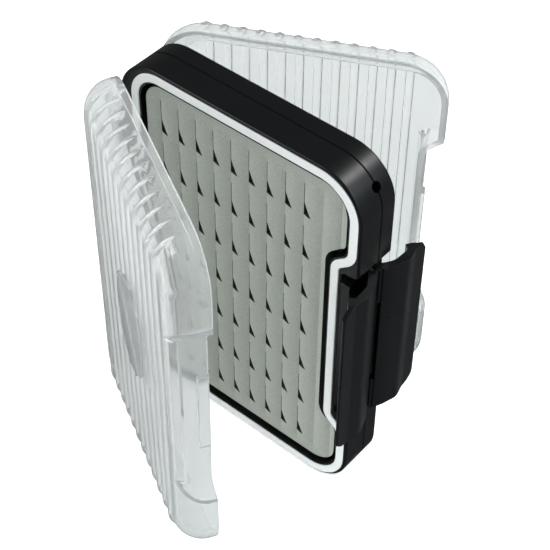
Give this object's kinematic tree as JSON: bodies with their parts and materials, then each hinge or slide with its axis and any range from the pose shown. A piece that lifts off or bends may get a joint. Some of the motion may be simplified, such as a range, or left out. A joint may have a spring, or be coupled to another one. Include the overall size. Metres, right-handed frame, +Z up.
{
  "type": "fly box",
  "caption": "Slim double-sided storage case with a foam-lined black leaf, two hinged clear ribbed lids and a two-winged latch.",
  "frame": {"origin": "centre of the leaf's bottom end, on its middle plane", "axes": "+X from the hinge side to the latch side, +Y from the front face to the rear face, +Z up along the leaf's long side"},
  "size_m": [0.1159, 0.1318, 0.151],
  "materials": {
    "black_plastic": "satin",
    "white_seal": "satin",
    "grey_foam": "matte",
    "adhesive_film": "matte",
    "clear_plastic": "polished",
    "pin_steel": "bright"
  },
  "bodies": {
    "frame": {"front_frame_half": "black_plastic", "rear_frame_half": "black_plastic", "front_seal_ring": "white_seal", "rear_seal_ring": "white_seal", "front_foam": "grey_foam", "rear_foam": "grey_foam", "front_foam_film": "adhesive_film", "rear_foam_film": "adhesive_film", "front_lower_hinge_pin": "pin_steel", "front_upper_hinge_pin": "pin_steel", "rear_lower_hinge_pin": "pin_steel", "rear_upper_hinge_pin": "pin_steel", "latch_pin": "pin_steel"},
    "front_lid": {"front_lid": "clear_plastic"},
    "rear_lid": {"rear_lid": "clear_plastic"},
    "front_latch": {"front_latch_wing": "black_plastic"},
    "rear_latch": {"rear_latch_wing": "black_plastic"}
  },
  "joints": [
    {"name": "front_lid_hinge", "type": "hinge", "parent": "frame", "child": "front_lid", "pos_m": [-0.0551, -0.00875, 0.0755], "axis": [0, 0, -1], "range_deg": [-29, 91]},
    {"name": "rear_lid_hinge", "type": "hinge", "parent": "frame", "child": "rear_lid", "pos_m": [-0.0551, 0.00875, 0.0755], "axis": [0, 0, 1], "range_deg": [-27, 93]},
    {"name": "front_latch_hinge", "type": "hinge", "parent": "frame", "child": "front_latch", "pos_m": [0.0506, 0, 0.0755], "axis": [0, 0, 1], "range_deg": [-36.5, 0]},
    {"name": "rear_latch_hinge", "type": "hinge", "parent": "frame", "child": "rear_latch", "pos_m": [0.0506, 0, 0.0755], "axis": [0, 0, -1], "range_deg": [-34, 0]}
  ]
}
